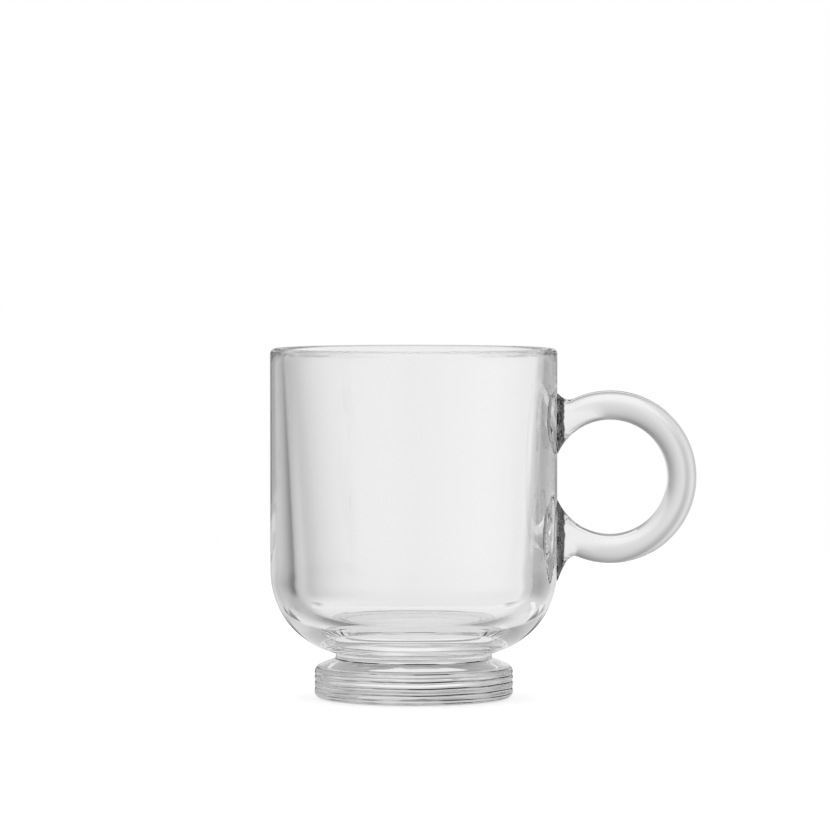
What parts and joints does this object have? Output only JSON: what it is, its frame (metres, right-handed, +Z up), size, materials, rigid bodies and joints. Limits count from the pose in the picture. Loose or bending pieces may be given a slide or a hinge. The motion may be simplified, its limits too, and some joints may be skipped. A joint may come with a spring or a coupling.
{
  "type": "cappuccino glass",
  "caption": "Clear glass cappuccino cup with a straight round bowl, rounded bottom, low ribbed foot and a ring handle of round glass rod.",
  "frame": {"origin": "on the bowl's axis, in the plane that the foot stands on", "axes": "+Z up along the bowl's axis, +X from the axis towards the handle, +Y across the handle"},
  "size_m": [0.1158, 0.078, 0.0951],
  "materials": {
    "clear_glass": "clear colourless glass, fire-polished and glossy"
  },
  "bodies": {
    "root": {"bowl": "clear_glass", "foot": "clear_glass", "handle": "clear_glass", "upper_handle_pad": "clear_glass", "lower_handle_pad": "clear_glass"}
  },
  "joints": []
}
